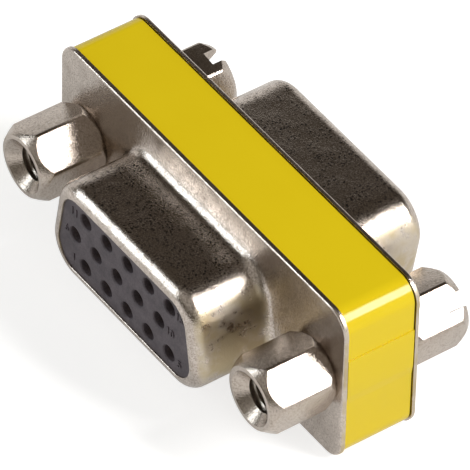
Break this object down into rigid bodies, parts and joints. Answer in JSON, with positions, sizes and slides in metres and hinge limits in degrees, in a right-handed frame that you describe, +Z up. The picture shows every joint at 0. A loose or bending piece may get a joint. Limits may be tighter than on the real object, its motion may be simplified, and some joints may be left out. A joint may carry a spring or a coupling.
{
  "type": "d-sub gender changer",
  "caption": "Low-profile gender changer for high-density D-sub plugs: a socket on each side of a thin labelled body, with hexagon nuts and jackscrews.",
  "frame": {"origin": "middle of the base line, on the surface that the two flanges stand on", "axes": "+X along the connector towards the end with the label seam, -Y out of the front socket, +Y out of the rear socket, +Z up"},
  "size_m": [0.0308, 0.0174, 0.0125],
  "materials": {
    "nickel_shell": "bright nickel plating on drawn steel, faintly mottled",
    "nickel_hardware": "bright nickel plating on turned brass hexagon bar",
    "insulator": "moulded, dark grey",
    "contact": "rolled strip, gold flash",
    "label": "yellow vinyl film, bare"
  },
  "bodies": {
    "root": {"front_shell": "nickel_shell", "rear_shell": "nickel_shell", "front_insulator": "insulator", "rear_insulator": "insulator", "contact_01": "contact", "contact_02": "contact", "contact_03": "contact", "contact_04": "contact", "contact_05": "contact", "contact_06": "contact", "contact_07": "contact", "contact_08": "contact", "contact_09": "contact", "contact_10": "contact", "contact_11": "contact", "contact_12": "contact", "contact_13": "contact", "contact_14": "contact", "contact_15": "contact", "label": "label", "front_nut_left": "nickel_hardware", "front_nut_right": "nickel_hardware", "rear_jackscrew_left": "nickel_hardware", "rear_jackscrew_right": "nickel_hardware"}
  },
  "joints": []
}
